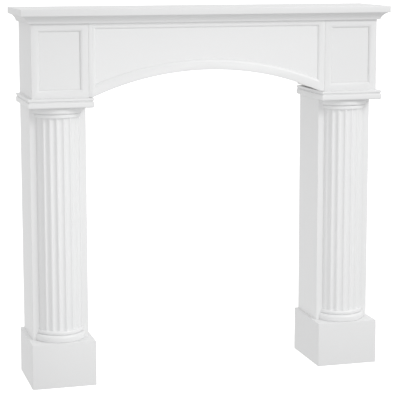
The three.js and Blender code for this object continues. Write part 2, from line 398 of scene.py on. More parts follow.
    def ease(self, arris: Arris, wanted: EdgeTest) -> None:
        """Rounds some edges over.

        Args:
            arris: The rounding.
            wanted: Tells whether an edge is rounded.
        """
        with self.opened():
            self.pick(Element.EDGE, wanted)
            bpy.ops.mesh.bevel(
                offset=arris.width, segments=arris.steps, profile=0.5, affect="EDGES"
            )

    def wall(self, thickness: float) -> None:
        """Gives an open shell the thickness of its boards, inward."""
        self._apply("SOLIDIFY", thickness=thickness, offset=-1.0, use_even_offset=True)

    def cut(self, cutter: "Workpiece") -> None:
        """Takes the cutter's shape out of the piece, and the cutter off the bench."""
        self._apply("BOOLEAN", object=cutter.obj, operation="DIFFERENCE", solver="EXACT")
        bpy.data.objects.remove(cutter.obj)

    def _apply(self, kind: str, **settings: object) -> None:
        """Adds a modifier and applies it.

        Args:
            kind: Type of the modifier.
            settings: Its settings.
        """
        self._select()
        modifier = self.obj.modifiers.new(kind.title(), kind)
        for name, value in settings.items():
            setattr(modifier, name, value)
        bpy.ops.object.modifier_apply(modifier=modifier.name)

    def smooth(self) -> None:
        """Shades round stretches smooth and keeps sharper edges crisp."""
        self._select()
        bpy.ops.object.shade_smooth_by_angle(angle=math.radians(CRISP_DEGREES))


def faces_way(way: Way) -> FaceTest:
    """Makes a test for faces that look straight one way."""
    return lambda face: way.along(face.normal) > STRAIGHT


def is_upright(edge: bmesh.types.BMEdge) -> bool:
    """Tells whether an edge stands upright."""
    ends = edge.verts[0].co - edge.verts[1].co
    return abs(ends.z) > STRAIGHT * ends.length


def lies_at(edge: bmesh.types.BMEdge, way: Way, extent: Extent) -> bool:
    """Tells whether an edge lies in the side of a box that looks one way."""
    return all(same_place(vertex.co[way.axis], extent.side(way)) for vertex in edge.verts)


def turns_out(edge: bmesh.types.BMEdge, degrees: float = CORNER_DEGREES) -> bool:
    """Tells whether an edge is an outward corner that turns by more than some degrees."""
    between_two = len(edge.link_faces) == 2 and edge.is_convex
    return between_two and edge.calc_face_angle(0.0) > math.radians(degrees)


# Paint


Value = Union[float, Sequence[float], "Signal", bpy.types.NodeSocket]


class Signal:
    """A number that changes over a surface, as a node socket that takes part in arithmetic."""

    def __init__(self, recipe: "Recipe", socket: bpy.types.NodeSocket) -> None:
        """Wraps an output socket of a recipe."""
        self.recipe = recipe
        self.socket = socket

    def _math(self, operation: str, first: Value, second: Value) -> "Signal":
        """Adds one Math node, which works out an operation on two values."""
        node = self.recipe.node("ShaderNodeMath", {"operation": operation}, {0: first, 1: second})
        return Signal(self.recipe, node.outputs[0])

    def __add__(self, other: Value) -> "Signal":
        """self + other."""
        return self._math("ADD", self, other)

    def __radd__(self, other: Value) -> "Signal":
        """other + self."""
        return self._math("ADD", other, self)

    def __sub__(self, other: Value) -> "Signal":
        """self - other."""
        return self._math("SUBTRACT", self, other)

    def __rsub__(self, other: Value) -> "Signal":
        """other - self."""
        return self._math("SUBTRACT", other, self)

    def __mul__(self, other: Value) -> "Signal":
        """self * other."""
        return self._math("MULTIPLY", self, other)

    def __rmul__(self, other: Value) -> "Signal":
        """other * self."""
        return self._math("MULTIPLY", other, self)


@dataclass(frozen=True)
class Pattern:
    """A soft random pattern.

    Attributes:
        scale: Number of its spots in a metre.
        detail: How many finer layers it has.
        seed: Shift that makes it another pattern.
    """

    scale: float
    detail: float
    seed: float


class Recipe:
    """The node tree of one material, or of the air."""

    def __init__(self, owner: Union[bpy.types.Material, bpy.types.World]) -> None:
        """Empties the node tree of its owner.

        Args:
            owner: The material or the world.
        """
        self.owner = owner
        self.owner.use_nodes = True
        self.tree = self.owner.node_tree
        self.tree.nodes.clear()

    def node(
        self, kind: str, settings: Mapping[str, object], inputs: Mapping[Union[str, int], Value]
    ) -> bpy.types.Node:
        """Adds a node.

        Args:
            kind: Type of the node.
            settings: Its settings, which are set first.
            inputs: Values or links of its sockets, by name or number.

        Returns:
            The new node.
        """
        node = self.tree.nodes.new(kind)
        for name, value in settings.items():
            setattr(node, name, value)
        for name, value in inputs.items():
            if isinstance(value, Signal):
                self.tree.links.new(value.socket, node.inputs[name])
            elif isinstance(value, bpy.types.NodeSocket):
                self.tree.links.new(value, node.inputs[name])
            else:
                node.inputs[name].default_value = value
        return node

    def noise(self, lay: Lay, pattern: Pattern) -> Signal:
        """Adds a soft random pattern that is fixed to the piece.

        Args:
            lay: How the pattern is stretched.
            pattern: The pattern.

        Returns:
            The pattern, from 0 to 1 about a half.
        """
        place = self.node("ShaderNodeTexCoord", {}, {})
        shift = (pattern.seed, pattern.seed, pattern.seed)
        mapped = self.node(
            "ShaderNodeMapping",
            {},
            {"Vector": place.outputs["Object"], "Location": shift, "Scale": lay.value},
        )
        noise = self.node(
            "ShaderNodeTexNoise",
            {},
            {
                "Vector": mapped.outputs["Vector"],
                "Scale": pattern.scale,
                "Detail": pattern.detail,
            },
        )
        return Signal(self, noise.outputs["Fac"])


@dataclass(frozen=True)
class Paint:
    """White paint on timber or board, as it comes off the roller or the brush.

    Attributes:
        name: Name of the material.
        light: Colour where the coat is full.
        thin: Colour where the coat is thinner.
        roughness: Mean roughness of the coat.
        gloss_drift: How much the roughness drifts over the surface.
        marks: Number of brush or roller marks in a metre.
        mark_depth: Depth of the marks, in metres.
        lay: The way the marks run.
        coat: Weight of the clear gloss over the paint.
        coat_roughness: Roughness of that gloss.
        drift: The slow change of the coat over the whole piece.
        patches: Its quicker change, along the marks.
        mark_detail: How many finer layers the marks have.
        mark_seed: Shift of the marks' pattern.
        shares: How much of the colour's change is drift, and how much is patches.
        patch_relief: Height of the patches, as a share of the marks'.
        relief: Strength of the marks and patches.
    """

    name: str
    light: tuple[float, float, float, float]
    thin: tuple[float, float, float, float]
    roughness: float
    gloss_drift: float
    marks: float
    mark_depth: float
    lay: Lay
    coat: float
    coat_roughness: float = 0.3
    drift: Pattern = Pattern(scale=2.6, detail=3.0, seed=1.7)
    patches: Pattern = Pattern(scale=38.0, detail=2.0, seed=4.3)
    mark_detail: float = 2.0
    mark_seed: float = 8.9
    shares: tuple[float, float] = (0.7, 0.3)
    patch_relief: float = 0.5
    relief: float = 0.6

    def material(self) -> bpy.types.Material:
        """Returns the paint's material, which is mixed only once."""
        return bpy.data.materials.get(self.name) or self._mixed()

    def _mixed(self) -> bpy.types.Material:
        """Mixes the material.

        Returns:
            A new material with the paint's colour, gloss and marks.
        """
        recipe = Recipe(bpy.data.materials.new(self.name))
        drift = recipe.noise(Lay.EVEN, self.drift)
        patches = recipe.noise(self.lay, self.patches)
        marks = recipe.noise(self.lay, Pattern(self.marks, self.mark_detail, self.mark_seed))
        drift_share, patch_share = self.shares
        colour = recipe.node(
            "ShaderNodeMix",
            {"data_type": "RGBA"},
            {
                "Factor": drift * drift_share + patches * patch_share,
                "A": self.thin,
                "B": self.light,
            },
        )
        bump = recipe.node(
            "ShaderNodeBump",
            {},
            {
                "Strength": self.relief,
                "Distance": self.mark_depth,
                "Height": marks + patches * self.patch_relief,
            },
        )
        shader = recipe.node(
            "ShaderNodeBsdfPrincipled",
            {},
            {
                "Base Color": colour.outputs["Result"],
                "Roughness": self.roughness + (patches - NOISE_MEAN) * self.gloss_drift,
                "Coat Weight": self.coat,
                "Coat Roughness": self.coat_roughness,
                "Normal": bump.outputs["Normal"],
            },
        )
        recipe.node("ShaderNodeOutputMaterial", {}, {"Surface": shader.outputs["BSDF"]})
        return recipe.owner


BOARD_ENAMEL = Paint(
    name="satin_enamel_rolled_on_board",
    light=(0.806, 0.808, 0.809, 1.0),
    thin=(0.781, 0.784, 0.786, 1.0),
    roughness=0.42,
    gloss_drift=0.10,
    marks=620.0,
    mark_depth=0.00005,
    lay=Lay.EVEN,
    coat=0.08,
)
# Painted light: the frieze's white is made lighter than the boards' white, standing in for more
# light falling on the frieze.
FRIEZE_ENAMEL_PAINTED_LIGHT = replace(
    BOARD_ENAMEL,
    name="satin_enamel_rolled_on_frieze",
    light=(0.834, 0.836, 0.837, 1.0),
    thin=(0.808, 0.811, 0.813, 1.0),
)
# Painted shade: the shelf's white is made darker than the boards' white, standing in for less light
# falling on the shelf.
SHELF_ENAMEL_PAINTED_SHADE = replace(
    BOARD_ENAMEL,
    name="satin_enamel_rolled_on_shelf",
    light=(0.786, 0.788, 0.789, 1.0),
    thin=(0.760, 0.763, 0.765, 1.0),
)
# Painted light: the pilaster's white is made lighter than the boards' white, standing in for more
# light falling on the pilaster fronts.
PILASTER_ENAMEL_PAINTED_LIGHT = replace(
    BOARD_ENAMEL,
    name="satin_enamel_brushed_on_pilaster",
    light=(0.848, 0.850, 0.851, 1.0),
    thin=(0.822, 0.825, 0.827, 1.0),
    roughness=0.40,
    marks=520.0,
    mark_depth=0.000025,
    lay=Lay.UPRIGHT,
)
# Painted light: this white is made lighter than the boards' white, standing in for the brighter
# light on the fluted shaft and its rings.
TURNED_ENAMEL_PAINTED_LIGHT = Paint(
    name="satin_enamel_brushed_on_turned_wood",
    light=(0.860, 0.862, 0.863, 1.0),
    thin=(0.830, 0.833, 0.836, 1.0),
    roughness=0.38,
    gloss_drift=0.12,
    marks=480.0,
    mark_depth=0.000022,
    lay=Lay.UPRIGHT,
    coat=0.10,
)
MOULDING_ENAMEL = replace(
    TURNED_ENAMEL_PAINTED_LIGHT,
    name="satin_enamel_brushed_on_moulding",
    light=(0.822, 0.824, 0.825, 1.0),
    thin=(0.792, 0.795, 0.798, 1.0),
    mark_depth=0.00006,
    lay=Lay.LEVEL,
)
# Painted shade: the crown's white is made much darker than the other whites, standing in for the
# shade in the cove under the shelf.
CROWN_ENAMEL_PAINTED_SHADE = replace(
    MOULDING_ENAMEL,
    name="satin_enamel_brushed_on_crown",
    light=(0.742, 0.744, 0.745, 1.0),
    thin=(0.716, 0.719, 0.722, 1.0),
    roughness=0.42,
    coat=0.06,
)
PRIMER = Paint(
    name="flat_primer_inside_and_behind",
    light=(0.68, 0.675, 0.665, 1.0),
    thin=(0.60, 0.59, 0.575, 1.0),
    roughness=0.78,
    gloss_drift=0.10,
    marks=260.0,
    mark_depth=0.00012,
    lay=Lay.EVEN,
    coat=0.0,
)


# Sub-assemblies


def against_wall(polygon: bpy.types.MeshPolygon) -> bool:
    """Tells whether a face looks straight back to the wall."""
    return Way.BACK.along(polygon.normal) > STRAIGHT


@dataclass(frozen=True)
class Dressing:
    """How a finished piece is painted and tied to the solids.

    Attributes:
        slot: The slot of the record that its finish would come from; not used.
        paint: The paint on all that shows.
        primed: Tells which faces have only the primer.
    """

    slot: Slot
    paint: Paint
    primed: PolygonTest = against_wall

    def put_on(self, piece: Workpiece, *nodes: str) -> None:
        """Paints the piece and ties it to the solids that it stands for."""
        self.coat(piece)
        self.tie(piece, *nodes)

    def coat(self, piece: Workpiece) -> None:
        """Paints the piece.

        Args:
            piece: The modelled piece.
        """
        piece.smooth()
        mesh = piece.obj.data
        mesh.materials.clear()
        mesh.materials.append(self.paint.material())
        mesh.materials.append(PRIMER.material())
        for polygon in mesh.polygons:
            polygon.material_index = int(self.primed(polygon))

    def tie(self, piece: Workpiece, *nodes: str) -> None:
        """Ties the painted piece to the solids and reports it.

        Args:
            piece: The painted piece.
            nodes: The solids that it stands for.
        """
        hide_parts(*nodes)
        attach(piece.obj, BODY)
        size = piece.obj.dimensions * MM
        faces = len(piece.obj.data.polygons)
        report = "%s: %.1f x %.1f x %.1f mm, %d faces, for %s"
        LOG.info(report, piece.obj.name, *size, faces, ", ".join(nodes))


@dataclass
class LegPart(ABC):
    """A piece that both legs have: it is modelled on the left leg and mirrored on the right one.

    Attributes:
        stem: Name of the piece, without its side.
        solids: Names of the solids that it stands for, without their side.
        slot: The slot of the record, which is handed on to the dressing.
        paint: The paint on all that shows.
    """

    stem: str
    solids: tuple[str, ...]
    slot: Slot
    paint: Paint

    @abstractmethod
    def model(self, name: str, extent: Extent) -> Workpiece:
        """Models the left leg's piece.

        Args:
            name: Name of the piece.
            extent: The box of its solids.

        Returns:
            The modelled piece.
        """

    def primed(self, polygon: bpy.types.MeshPolygon, extent: Extent) -> bool:
        """Tells whether a face has only primer on it, here each that looks straight back."""
        return against_wall(polygon)

    def nodes(self, side: Side) -> tuple[str, ...]:
        """Names this piece's solids on one side."""
        return tuple(f"{solid}_{side.value}" for solid in self.solids)

    def build(self) -> None:
        """Models and paints the piece, mirrors it on the other leg and ties both to the solids."""
        extent = Extent.of(*self.nodes(Side.LEFT))
        dressing = Dressing(self.slot, self.paint, lambda polygon: self.primed(polygon, extent))
        left = self.model(f"{self.stem}_{Side.LEFT.value}", extent)
        dressing.coat(left)
        right = left.mirrored(f"{self.stem}_{Side.RIGHT.value}")
        dressing.tie(left, *self.nodes(Side.LEFT))
        dressing.tie(right, *self.nodes(Side.RIGHT))


@dataclass
class LegBox(LegPart):
    """A box of boards under one coat of paint, open behind.

    Attributes:
        open_ways: The ways, besides back, in which the box is open.
        board: Thickness of the boards.
        outer_share: Share of a board's thickness, from the outside, that holds no inner face.
        arris: Rounding of the outer corners.
    """

    open_ways: tuple[Way, ...]
    board: float = 0.018
    outer_share: float = 0.9
    arris: Arris = Arris(0.0014, 3)

    def model(self, name: str, extent: Extent) -> Workpiece:
        """Models the box: a blank opened behind, given the boards' thickness and eased.

        Args:
            name: Name of the box.
            extent: The box of the boards.

        Returns:
            The modelled box.
        """
        piece = Workpiece.from_box(name, extent)
        tests = [faces_way(way) for way in (Way.BACK, *self.open_ways)]
        piece.remove_faces(lambda face: any(test(face) for test in tests))
        piece.wall(self.board)
        self.work_front(piece, extent)
        piece.ease(self.arris, lambda edge: turns_out(edge) and self.shows(edge, extent))
        return piece

    def work_front(self, piece: Workpiece, extent: Extent) -> None:
        """Leaves the front board plain."""

    def shows(self, edge: bmesh.types.BMEdge, extent: Extent) -> bool:
        """Tells whether both faces at an edge are painted outer faces of the box."""
        faces = [(face.normal, face.calc_center_median()) for face in edge.link_faces]
        return not any(self._hidden(normal, centre, extent) for normal, centre in faces)

    def primed(self, polygon: bpy.types.MeshPolygon, extent: Extent) -> bool:
        """Tells whether a face is inside the box or on one of its raw rims."""
        return self._hidden(polygon.normal, polygon.center, extent)

    def _hidden(self, normal: Vector, centre: Vector, extent: Extent) -> bool:
        """Tells whether a face looks inward, or out through an open side.

        Args:
            normal: The face's normal.
            centre: The face's middle.
            extent: The box of the boards.

        Returns:
            True for a face that isn't an outer one.
        """
        return any(
            way in (Way.BACK, *self.open_ways)
            or abs(extent.side(way) - centre[way.axis]) > self.outer_share * self.board
            for way in Way
            if way.along(normal) > NEARLY_STRAIGHT
        )


@dataclass(frozen=True)
class Ovolo:
    """The rounded edge round a sunk panel.

    Attributes:
        width: Its width.
        depth: Depth of the panel behind its frame.
        steps: Facets across it.
        fullness: Power of its round, which is flatter than a quarter of an ellipse.
    """

    width: float = 0.009
    depth: float = 0.0065
    steps: int = 8
    fullness: float = 1.6

    def sink(self, sign: int = 1) -> None:
        """Sinks the selected faces behind the edge, step by step.

        Args:
            sign: 1, or -1 to raise them instead.
        """
        turn = quarter_turn(self.steps, self.fullness)
        for (across, up), (next_across, next_up) in pairwise(turn):
            bpy.ops.mesh.inset(
                thickness=self.width * (next_across - across),
                depth=-sign * self.depth * (up - next_up),
                use_even_offset=True,
            )


@dataclass
class EndBlock(LegBox):
    """The box over a cap, with a sunk panel in its front.

    Attributes:
        stile: Width of the frame beside the panel.
        bottom_rail: Width of the frame under the panel.
        top_rail: Width of the frame over the panel, below the crown moulding.
        ovolo: The rounded edge round the panel.
        centred: How far a face's middle is at most from the panel's, for it to be the panel.
    """

    stile: float = 0.0145
    bottom_rail: float = 0.015
    top_rail: float = 0.0135
    ovolo: Ovolo = Ovolo()
    centred: float = 0.004

    def work_front(self, piece: Workpiece, extent: Extent) -> None:
        """Sinks the panel: insets the front face, sets its rails and rounds its edge down.

        Args:
            piece: The box.
            extent: The box of the boards.
        """
        low, high, front = extent.low.z, extent.high.z, extent.low.y
        crown_foot = Extent.of("crown_front").low.z
        levels = (
            (low + self.stile, low + self.bottom_rail),
            (high - self.stile, crown_foot - self.top_rail),
        )
        middle = Vector((extent.middle.x, front, (levels[0][1] + levels[1][1]) / 2))
        with piece.opened():
            piece.pick(
                Element.FACE,
                lambda face: Way.FRONT.along(face.normal) > STRAIGHT
                and same_place(face.calc_center_median().y, front),
            )
            bpy.ops.mesh.inset(thickness=self.stile, depth=0.0, use_even_offset=True)
            for before, after in levels:
                piece.pick(
                    Element.VERT,
                    lambda vertex, level=before: same_place(vertex.co.z, level)
                    and same_place(vertex.co.y, front),
                )
                bpy.ops.transform.translate(value=(0.0, 0.0, after - before))
            piece.pick(
                Element.FACE,
                lambda face: (face.calc_center_median() - middle).length < self.centred,
            )
            self.ovolo.sink()

    def shows(self, edge: bmesh.types.BMEdge, extent: Extent) -> bool:
        """Tells whether an edge is a painted corner, or the end that meets the frieze."""
        at_front, at_frieze = (lies_at(edge, way, extent) for way in (Way.FRONT, Way.INWARD))
        return (is_upright(edge) and at_front and at_frieze) or super().shows(edge, extent)


@dataclass
class InnerCheek(LegPart):
    """The board behind the joint of block and frieze, which stops short of the cap.

    Attributes:
        arris: Rounding of its edges.
    """

    arris: Arris = Arris(0.0006, 3)

    def model(self, name: str, extent: Extent) -> Workpiece:
        """Models the board.

        Args:
            name: Name of the board.
            extent: The box of the board.

        Returns:
            The modelled board.
        """
        piece = Workpiece.from_box(name, extent)
        piece.ease(self.arris, turns_out)
        return piece

    def primed(self, polygon: bpy.types.MeshPolygon, extent: Extent) -> bool:
        """Tells whether a face looks another way than to the space between the legs."""
        return Way.INWARD.along(polygon.normal) < HALF_TURNED


@dataclass
class CapMoulding(LegPart):
    """The moulded board on a leg: a rounded nose, a groove and a fillet round three sides.

    Attributes:
        fillet: Height of the flat band at the top.
        groove_height: Height of the hollow under it.
        groove_depth: Depth of the hollow.
        nose_top: Rounding of the nose's upper edge.
        nose: Rounding of the nose's lower edge.
        steps: Facets in each quarter round.
        arris: Rounding of the band's upper edge.
    """

    fillet: float = 0.0055
    groove_height: float = 0.0045
    groove_depth: float = 0.003
    nose_top: float = 0.002
    nose: float = 0.005
    steps: int = 6
    arris: float = 0.0008

    def profile(self, extent: Extent) -> list[tuple[float, float]]:
        """Draws the edge of the board from the bottom up.

        Args:
            extent: The box of the cap.

        Returns:
            How far each point lies inside the board's outline, and its height.
        """
        top = extent.high.z
        groove = top - self.fillet - self.groove_height
        turn = quarter_turn(self.steps)
        return [
            *((self.nose * (1 - s), extent.low.z + self.nose * (1 - c)) for s, c in turn),
            *((self.nose_top * (1 - c), groove - self.nose_top * (1 - s)) for s, c in turn),
            *((self.groove_depth * c, groove + self.groove_height * s) for s, c in turn),
            *((self.arris * (1 - c), top - self.arris * (1 - s)) for s, c in turn),
        ]

    def model(self, name: str, extent: Extent) -> Workpiece:
        """Models the cap as a stack of outlines that the wall's plane cuts in two.

        Args:
            name: Name of the cap.
            extent: The box of the cap.

        Returns:
            The modelled cap.
        """
        across = extent.size.x / 2
        sections = [
            Section(across - inset, extent.size.y - inset, height)
            for inset, height in self.profile(extent)
        ]
        return stacked_outline(name, sections, extent)


def stacked_outline(name: str, sections: Sequence[Section], extent: Extent) -> Workpiece:
    """Stacks rectangles into a moulding that runs round three sides and is flat at the wall.

    Args:
        name: Name of the piece.
        sections: The rectangles, from the bottom up.
        extent: The box that gives the middle along X and the wall's plane.

    Returns:
        The modelled piece.
    """
    first = sections[0]
    x, wall = extent.middle.x, extent.high.y
    piece = Workpiece.from_sheet(
        name, Vector((2 * first.across, 2 * first.forward, 1.0)), Vector((x, wall, first.height))
    )
    piece.raise_through(sections, x, wall)
    piece.split_at(wall)
    return piece


@dataclass
class TurnedRings(LegPart):
    """A turned base or capital: a wide ring and a small one, cut flat against the pilaster.

    Attributes:
        wide_below: True where the wide ring is the lower one.
        wide_height: Height of the wide ring.
        wide_shoulder: How far the wide ring swells from its edge beside the small ring.
        wide_foot: How far it swells from its other edge.
        small_step: How much smaller the small ring's radius is.
        small_bulge: How far the small ring swells from its edges.
        squareness: Power of the swelling: 2 is an ellipse, and more is squarer.
        steps: Facets up each ring.
        vertices: Corners round each ring.
    """

    wide_below: bool
    wide_height: float
    wide_shoulder: float = 0.008
    wide_foot: float = 0.0025
    small_step: float = 0.0053
    small_bulge: float = 0.004
    squareness: float = 2.4
    steps: int = 16
    vertices: int = 144

    def ring(
        self, foot: float, height: float, radius: float, bulges: tuple[float, float]
    ) -> list[Section]:
        """Draws one ring.

        Args:
            foot: Height of its lower edge.
            height: How high it is.
            radius: Its greatest radius.
            bulges: How far it swells from its lower and from its upper edge.

        Returns:
            Its levels, from the lower to the upper edge.
        """
        sections = []
        for step in range(self.steps + 1):
            level = -math.cos(math.pi * step / self.steps)
            swell = (1 - abs(level) ** self.squareness) ** (1 / self.squareness)
            reach = radius - bulges[level > 0] * (1 - swell)
            sections.append(Section(reach, reach, foot + height * (1 + level) / 2))
        return sections

    def model(self, name: str, extent: Extent) -> Workpiece:
        """Models the rings as round plates stacked on the column's axis and cut at the pilaster.

        Args:
            name: Name of the base or the capital.
            extent: Its box.

        Returns:
            The modelled rings.
        """
        radius = extent.size.x / 2
        axis_y = extent.low.y + radius
        small_height = extent.size.z - self.wide_height
        small = (small_height, radius - self.small_step, (self.small_bulge, self.small_bulge))
        wide = (self.wide_height, radius, (self.wide_shoulder, self.wide_foot))
        if self.wide_below:
            wide = (self.wide_height, radius, (self.wide_foot, self.wide_shoulder))
        foot = extent.low.z
        sections = []
        for height, reach, bulges in (wide, small) if self.wide_below else (small, wide):
            sections += self.ring(foot, height, reach, bulges)
            foot += height
        centre = Vector((extent.middle.x, axis_y, extent.low.z))
        piece = Workpiece.from_disc(name, sections[0].across, centre, self.vertices)
        piece.raise_through(sections, centre.x, centre.y)
        piece.split_at(extent.high.y)
        return piece


@dataclass
class FlutedShaft(LegPart):
    """The half column's shaft, with round flutes between narrow flats.

    Attributes:
        flutes: Number of flutes.
        pitch: Angle from one flute to the next, in degrees.
        depth: Depth of a flute below the shaft's round.
        flat: Width of the flat between two flutes.
        vertices: Corners round the shaft, a whole number of them between two flutes.
        cutter_vertices: Corners round the tool that cuts a flute.
        overrun: How far the tool runs past the ends of the shaft.
        arris: Rounding of the edges beside the flutes.
        corner: Angle from which such an edge is rounded, in degrees.
    """

    flutes: int = 7
    pitch: float = 18.0
    depth: float = 0.0042
    flat: float = 0.0036
    vertices: int = 80
    cutter_vertices: int = 56
    overrun: float = 0.004
    arris: Arris = Arris(0.0004, 2)
    corner: float = 35.0

    def cutter(self, radius: float) -> tuple[float, float]:
        """Works out the tool whose round passes through both flats and the bottom of a flute.

        Args:
            radius: Radius of the shaft.

        Returns:
            The tool's radius, and its distance from the axis of the shaft.
        """
        half = math.radians(self.pitch) / 2 - self.flat / radius / 2
        chord = radius * math.sin(half)
        sag = self.depth - radius * (1 - math.cos(half))
        tool = (chord**2 + sag**2) / (2 * sag)
        return tool, radius * math.cos(half) - sag + tool

    def model(self, name: str, extent: Extent) -> Workpiece:
        """Models the shaft: a round rod with the flutes cut into it, split at the pilaster.

        Args:
            name: Name of the shaft.
            extent: The box of the shaft.

        Returns:
            The modelled shaft.
        """
        radius = extent.size.x / 2
        axis = Vector((extent.middle.x, extent.low.y + radius, extent.middle.z))
        half_height = Vector((0.0, 0.0, extent.size.z / 2))
        whole = Extent(axis - half_height, axis + half_height)
        piece = Workpiece.from_rod(name, radius, whole, self.vertices)
        tool, distance = self.cutter(radius)
        reach = half_height + Vector((0.0, 0.0, self.overrun))
        for flute in range(self.flutes):
            angle = math.radians((flute - (self.flutes - 1) / 2) * self.pitch)
            place = axis + distance * Vector((math.sin(angle), -math.cos(angle), 0.0))
            cutter = Extent(place - reach, place + reach)
            piece.cut(Workpiece.from_rod("flute_cutter", tool, cutter, self.cutter_vertices))
        piece.split_at(extent.high.y)
        piece.ease(self.arris, lambda edge: is_upright(edge) and turns_out(edge, self.corner))
        piece.turn_outward()
        return piece


@dataclass
class ArchedFrieze:
    """The board between the end blocks, arched below, with a sunk field.

    Attributes:
        rise: Height of the arch over its feet.
        land: Width of the flat foot beside the arch.
        arch_rail: Width of the frame over the arch.
        stile: Width of the frame at the ends.
        top_rail: Width of the frame over the field, below the crown moulding.
        ovolo: The rounded edge round the field.
        arch_steps: Facets along the arch.
        arris: Rounding of the outer corners.
        corner: Angle from which a corner is rounded, in degrees.
    """

    rise: float = 0.0685
    land: float = 0.011
    arch_rail: float = 0.0205
    stile: float = 0.011
    top_rail: float = 0.007
    ovolo: Ovolo = Ovolo()
    arch_steps: int = 40
    arris: Arris = Arris(0.0006, 2)
    corner: float = 60.0

    def build(self) -> None:
        """Models the board, sinks its field and dresses it."""
        node = "frieze_panel"
        extent = Extent.of(node)
        span = extent.size.x / 2 - self.land
        radius = (span**2 + self.rise**2) / (2 * self.rise)
        centre_z = extent.low.z + self.rise - radius
        board = self._arched("arched_frieze", extent, radius, centre_z, self.land)
        board.cut(self._field(extent, radius + self.arch_rail, centre_z))
        board.ease(
            self.arris, lambda edge: turns_out(edge, self.corner) and self._shows(edge, extent)
        )
        Dressing(Slot.BOARD, FRIEZE_ENAMEL_PAINTED_LIGHT).put_on(board, node)

    def _shows(self, edge: bmesh.types.BMEdge, extent: Extent) -> bool:
        """Tells whether an edge of the arch or of the ends lies on the front of the board."""
        below_top = all(vertex.co.z < extent.high.z - ONE_PLACE for vertex in edge.verts)
        return lies_at(edge, Way.FRONT, extent) and (below_top or is_upright(edge))

    def _field(self, extent: Extent, radius: float, centre_z: float) -> Workpiece:
        """Models the tool that sinks the field: its back is rounded as the ovolo is.

        Args:
            extent: The box of the board.
            radius: Radius of the field's lower edge.
            centre_z: Height of the arch's centre.

        Returns:
            The tool, standing a little out of the board's front.
        """
        side = extent.size.x / 2 - self.stile
        foot = centre_z + math.sqrt(radius**2 - side**2)
        top = Extent.of("crown_front").low.z - self.top_rail
        middle = extent.middle.x
        front = extent.low.y
        outline = Extent(
            Vector((middle - side, front - self.ovolo.depth, foot)),
            Vector((middle + side, front, top)),
        )
        tool = self._arched("field_cutter", outline, radius, centre_z, 0.0)
        with tool.opened():
            tool.pick(Element.FACE, faces_way(Way.BACK))
            self.ovolo.sink(-1)
        return tool

    def _arched(
        self, name: str, extent: Extent, radius: float, centre_z: float, land: float
    ) -> Workpiece:
        """Models a slab with an arched lower edge, as a band round its outline that is then closed.

        Args:
            name: Name of the slab.
            extent: Its box.
            radius: Radius of the arch.
            centre_z: Height of the arch's centre.
            land: Width of the flat foot at each end of the arch.

        Returns:
            The slab.
        """
        slab = Workpiece.from_box(name, extent)
        slab.remove_faces(lambda face: Way.OUTWARD.along(face.normal) < STRAIGHT)
        half = extent.size.x / 2
        sweep = 2 * math.asin((half - land) / radius)
        with slab.opened():
            slab.pick(Element.EDGE, lambda edge: lies_at(edge, Way.DOWN, extent))
            self._extend(land, 0.0)
            bpy.ops.mesh.spin(
                steps=self.arch_steps,
                angle=-sweep,
                center=(extent.middle.x, extent.middle.y, centre_z),
                axis=(0.0, 1.0, 0.0),
            )
            self._extend(land, 0.0)
            self._extend(0.0, extent.size.z)
            self._extend(-2 * half, 0.0)
            bpy.ops.mesh.select_all(action="SELECT")
            bpy.ops.mesh.remove_doubles(threshold=ONE_PLACE)
            slab.pick(Element.EDGE, lambda edge: edge.is_boundary)
            bpy.ops.mesh.fill_holes(sides=0)
        slab.turn_outward()
        return slab

    @staticmethod
    def _extend(x: float, z: float) -> None:
        """Extrudes the selected edge so far along X and along Z."""
        if x or z:
            bpy.ops.mesh.extrude_region_move(TRANSFORM_OT_translate={"value": (x, 0.0, z)})


@dataclass
class CrownMoulding:
    """The cove under the shelf, mitred round the front and both ends.

    Attributes:
        foot: How far its lower edge stands off the blocks.
        foot_height: Height of its flat lower edge.
        head: How far its upper edge stands off the blocks.
        sag: How hollow the cove is.
        steps: Facets across the cove.
        arris: Rounding of the lower corner.
        overrun: How far the tool that hollows it runs past it.
    """

    foot: float = 0.008
    foot_height: float = 0.0035
    head: float = 0.0255
    sag: float = 0.0026
    steps: int = 14
    arris: Arris = Arris(0.0008, 4)
    overrun: float = 0.01

    def profile(self, extent: Extent) -> list[tuple[float, float]]:
        """Draws the moulding from the bottom up.

        Args:
            extent: The box of the moulding.

        Returns:
            How far each point stands off the blocks, and its height.
        """
        low, high = extent.low.z, extent.high.z
        start = low + self.foot_height
        rise, run = high - start, self.head - self.foot
        chord = math.hypot(run, rise)
        width = self.arris.width
        points = [
            (self.foot - width * (1 - s), low + width * (1 - c))
            for s, c in quarter_turn(self.arris.steps)
        ]
        for step in range(self.steps + 1):
            t = step / self.steps
            sag = 4 * self.sag * t * (1 - t)
            out = self.foot + run * t - sag * rise / chord
            points.append((out, start + rise * t + sag * run / chord))
        return points

    def build(self) -> None:
        """Models the moulding as stacked outlines, hollows it out and dresses it."""
        nodes = ("crown_front", "crown_left", "crown_right")
        extent = Extent.of(*nodes)
        body = Extent.of("block_front_left", "block_front_right")
        across = body.size.x / 2
        forward = extent.high.y - body.low.y
        profile = self.profile(extent)
        sections = [Section(across + out, forward + out, height) for out, height in profile]
        piece = stacked_outline("crown_moulding", sections, extent)
        past = Vector((0.0, self.overrun, self.overrun))
        foot = Vector((body.low.x, body.low.y, extent.low.z))
        hollow = Extent(
            foot - Vector((0.0, 0.0, self.overrun)),
            Vector((body.high.x, extent.high.y, extent.high.z)) + past,
        )
        piece.cut(Workpiece.from_box("crown_hollow", hollow))
        Dressing(Slot.WOOD, CROWN_ENAMEL_PAINTED_SHADE).put_on(piece, *nodes)


